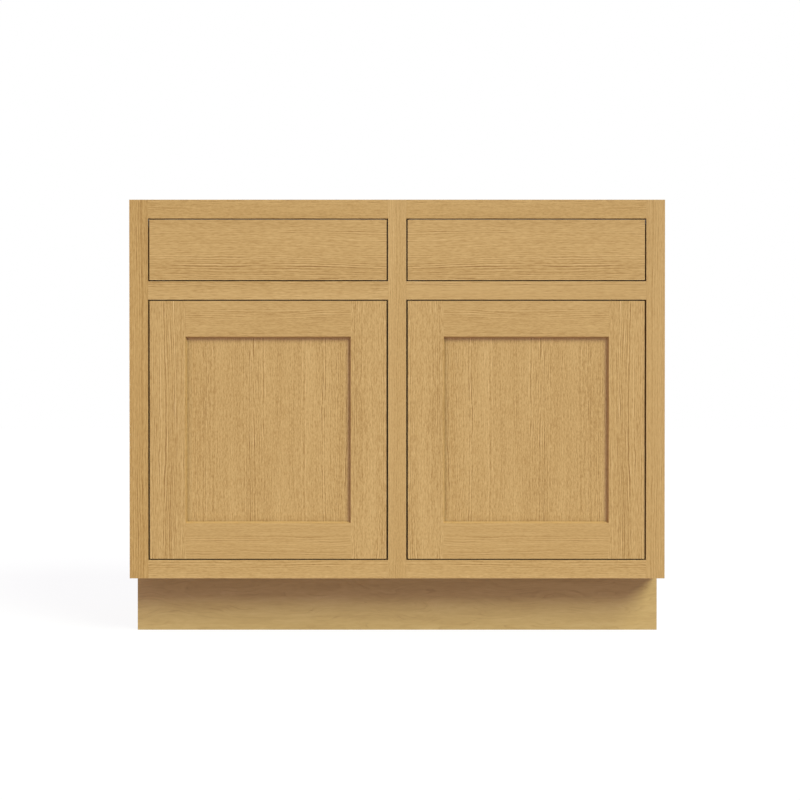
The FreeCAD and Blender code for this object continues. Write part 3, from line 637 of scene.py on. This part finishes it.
nickel = metal("nickel_plate", (0.62, 0.61, 0.58), 0.27, UPRIGHT, 0.0, 0.4)
zinc = metal("zinc_plate", (0.5, 0.51, 0.52), 0.4, RUNNING, 0.35, 0.5)
screw_zinc = metal("screw_plate", (0.45, 0.44, 0.42), 0.32, DECK, 0.1, 0.3)
clip_grey = plastic("clip_plastic", (0.34, 0.35, 0.36))
for node in ("hinge_plates", "hinge_arms", "left_hinge_links", "right_hinge_links",
             "left_door_hinge_cups", "right_door_hinge_cups"):
    wear(node, nickel, 0.25)
for node in ("fixed_runners", "left_middle_runners", "right_middle_runners",
             "left_drawer_runners", "right_drawer_runners"):
    wear(node, zinc, 0.2)
for node in ("mounting_screws", "left_door_cup_screws", "right_door_cup_screws"):
    wear(node, screw_zinc, 0.2)
for node in ("left_drawer_clips", "right_drawer_clips"):
    wear(node, clip_grey, 0.6)


def seen_or_reflected(graph):
    """1 for rays from the camera and for glossy or transmitted ones, else 0."""
    path = graph.tree.nodes.new("ShaderNodeLightPath")
    total = graph.math("ADD", path.outputs["Is Camera Ray"], path.outputs["Is Glossy Ray"])
    return graph.math("ADD", total, path.outputs["Is Transmission Ray"], clamp=True)


def build_floor():
    """A white floor that keeps a pale shadow."""
    mesh = bpy.data.meshes.new("floor")
    corners = [(across * FLOOR_HALF, deep * FLOOR_HALF, 0)
               for across, deep in ((-1, -1), (1, -1), (1, 1), (-1, 1))]
    mesh.from_pydata(corners, [], [(0, 1, 2, 3)])
    floor = bpy.data.objects.new("floor", mesh)
    bpy.context.scene.collection.objects.link(floor)
    material = bpy.data.materials.new("floor_white")
    material.use_nodes = True
    tree = material.node_tree
    tree.nodes.clear()
    graph = Graph(tree)
    seen = seen_or_reflected(graph)
    shade = graph.blend(seen, FLOOR_BOUNCE, FLOOR_GREY)
    matte = graph.add("ShaderNodeBsdfDiffuse", {"Color": shade})
    strength = graph.math("MULTIPLY", seen, FLOOR_GLOW)
    glow = graph.add("ShaderNodeEmission", {"Color": WHITE, "Strength": strength})
    both = graph.add("ShaderNodeAddShader", {0: matte, 1: glow})
    leave = tree.nodes.new("ShaderNodeOutputMaterial")
    tree.links.new(both, leave.inputs[0])
    mesh.materials.append(material)


def add_sun(name, energy, colour, spread, source):
    """A sun lamp that shines from a direction, spread over so many degrees."""
    lamp = bpy.data.lights.new(name, "SUN")
    lamp.energy = energy
    lamp.color = colour
    lamp.angle = math.radians(spread)
    sun = bpy.data.objects.new(name, lamp)
    sun.rotation_euler = Vector(source).to_track_quat("Z", "Y").to_euler()
    bpy.context.scene.collection.objects.link(sun)


def build_light():
    """A broad soft key from the upper right in front, a level fill from the left behind that reaches
    only the back and the left side, and an even surround that looks white."""
    world = bpy.data.worlds.new("surround")
    bpy.context.scene.world = world
    world.use_nodes = True
    tree = world.node_tree
    tree.nodes.clear()
    graph = Graph(tree)
    seen = seen_or_reflected(graph)
    tint = graph.blend(seen, SURROUND_LIGHT, WHITE)
    sky = graph.add("ShaderNodeBackground", {"Color": tint, "Strength": 1.0})
    leave = tree.nodes.new("ShaderNodeOutputWorld")
    tree.links.new(sky, leave.inputs[0])
    add_sun("key", 3.1, (0.885, 1.0, 0.84), 30, (0.88, -1.0, 1.05))
    add_sun("fill", 1.5, (0.93, 1.0, 0.89), 3, (-0.8, 1.0, 0.0))


def build_camera():
    """The catalogue view: straight on, a little above half height."""
    lens = bpy.data.cameras.new("camera")
    lens.sensor_width = SENSOR
    lens.lens = LENS
    camera = bpy.data.objects.new("camera", lens)
    camera.location = CAMERA_PLACE
    camera.rotation_euler = (math.radians(90 - CAMERA_TILT), 0, 0)
    bpy.context.scene.collection.objects.link(camera)
    bpy.context.scene.camera = camera


build_floor()
build_light()
build_camera()
bpy.context.scene.view_settings.view_transform = "Standard"
